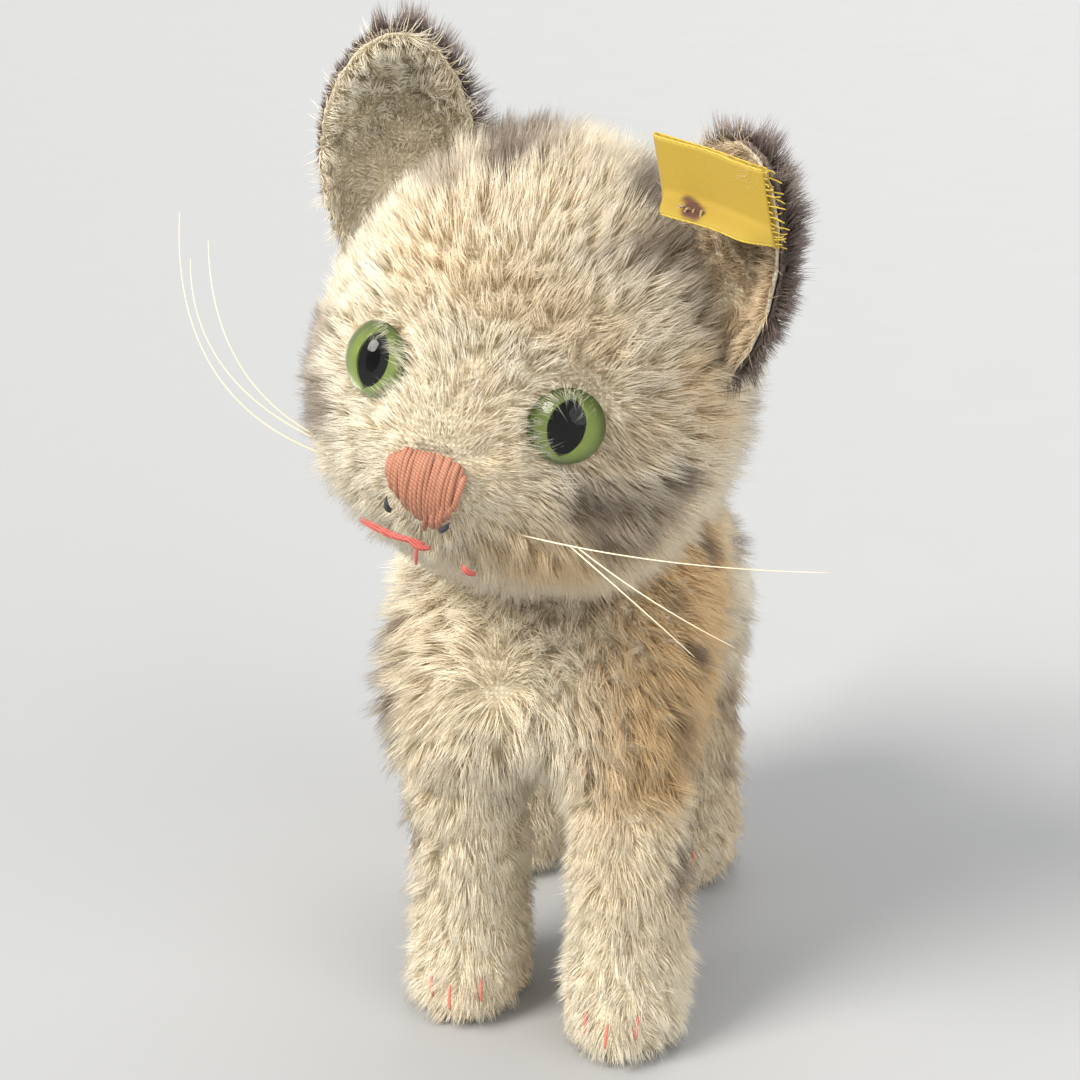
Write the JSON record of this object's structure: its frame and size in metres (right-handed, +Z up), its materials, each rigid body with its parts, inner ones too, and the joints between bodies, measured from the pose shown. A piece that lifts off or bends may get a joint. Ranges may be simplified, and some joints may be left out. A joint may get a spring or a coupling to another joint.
{
  "type": "plush cat",
  "caption": "Standing stuffed mohair kitten with a disc-jointed turning head, glass eyes, embroidered nose, ribbon tag in one ear and an upright tail",
  "frame": {"origin": "On the surface the cat stands on, under the middle of the whole cat's bounding box", "axes": "+Z up, the body faces -Y, +X is the cat's left; the head is turned to its rest pose"},
  "size_m": [0.1056, 0.1508, 0.1775],
  "materials": {
    "mohair_pile": "mohair pile, cream with grey-brown airbrushed stripes",
    "dark_mohair_pile": "mohair pile, grey-brown",
    "ear_lining": "short straw-coloured mohair with the pile clipped",
    "stuffing": "packed wood wool",
    "claw_thread": "faded red-pink cotton thread",
    "linen_thread": "undyed linen thread",
    "hardboard": "pressed fibreboard, matt",
    "steel": "plain steel, slightly dulled",
    "eye_glass": "clear glass, glossy",
    "iris_paint": "olive green enamel on the glass's back",
    "pupil_paint": "black enamel on the glass's back",
    "nose_thread": "salmon embroidery cotton, satin stitch",
    "mouth_thread": "coral red embroidery cotton",
    "black_thread": "black embroidery cotton",
    "whisker_bristle": "stiff pale bristle, translucent",
    "ribbon": "yellow woven ribbon, frayed at its cut ends",
    "rivet_metal": "rusty iron"
  },
  "bodies": {
    "body": {"body_side_left": "mohair_pile", "body_side_right": "mohair_pile", "belly_gusset": "mohair_pile", "body_stuffing": "stuffing", "front_leg_left_cover": "mohair_pile", "front_leg_right_cover": "mohair_pile", "hind_leg_left_cover": "mohair_pile", "hind_leg_right_cover": "mohair_pile", "front_leg_left_stuffing": "stuffing", "front_leg_right_stuffing": "stuffing", "hind_leg_left_stuffing": "stuffing", "hind_leg_right_stuffing": "stuffing", "front_left_claws": "claw_thread", "front_right_claws": "claw_thread", "hind_left_claws": "claw_thread", "hind_right_claws": "claw_thread", "tail_cover": "dark_mohair_pile", "tail_stuffing": "stuffing", "body_neck_gather": "mohair_pile", "body_gather_thread": "linen_thread", "body_neck_disc": "hardboard", "body_neck_washer": "steel", "neck_pin": "steel"},
    "head": {"head_side_left": "mohair_pile", "head_side_right": "mohair_pile", "head_gusset": "mohair_pile", "chin_gusset": "mohair_pile", "head_stuffing": "stuffing", "head_neck_gather": "mohair_pile", "head_gather_thread": "linen_thread", "head_neck_disc": "hardboard", "head_neck_washer": "steel", "ear_left_back": "dark_mohair_pile", "ear_left_lining": "ear_lining", "ear_right_back": "dark_mohair_pile", "ear_right_lining": "ear_lining", "eye_left_glass": "eye_glass", "eye_right_glass": "eye_glass", "eye_left_iris": "iris_paint", "eye_right_iris": "iris_paint", "eye_left_pupil": "pupil_paint", "eye_right_pupil": "pupil_paint", "eye_left_shank": "steel", "eye_right_shank": "steel", "eye_ties": "linen_thread", "nose_embroidery": "nose_thread", "mouth_stitches": "mouth_thread", "nostril_stitches": "black_thread", "whiskers_left": "whisker_bristle", "whiskers_right": "whisker_bristle", "ear_tag": "ribbon", "tag_rivet": "rivet_metal"}
  },
  "joints": [
    {"name": "head_swivel", "type": "hinge", "parent": "body", "child": "head", "pos_m": [0, -0.0072, 0.104], "axis": [0, -0.8387, 0.5446], "continuous": true}
  ]
}
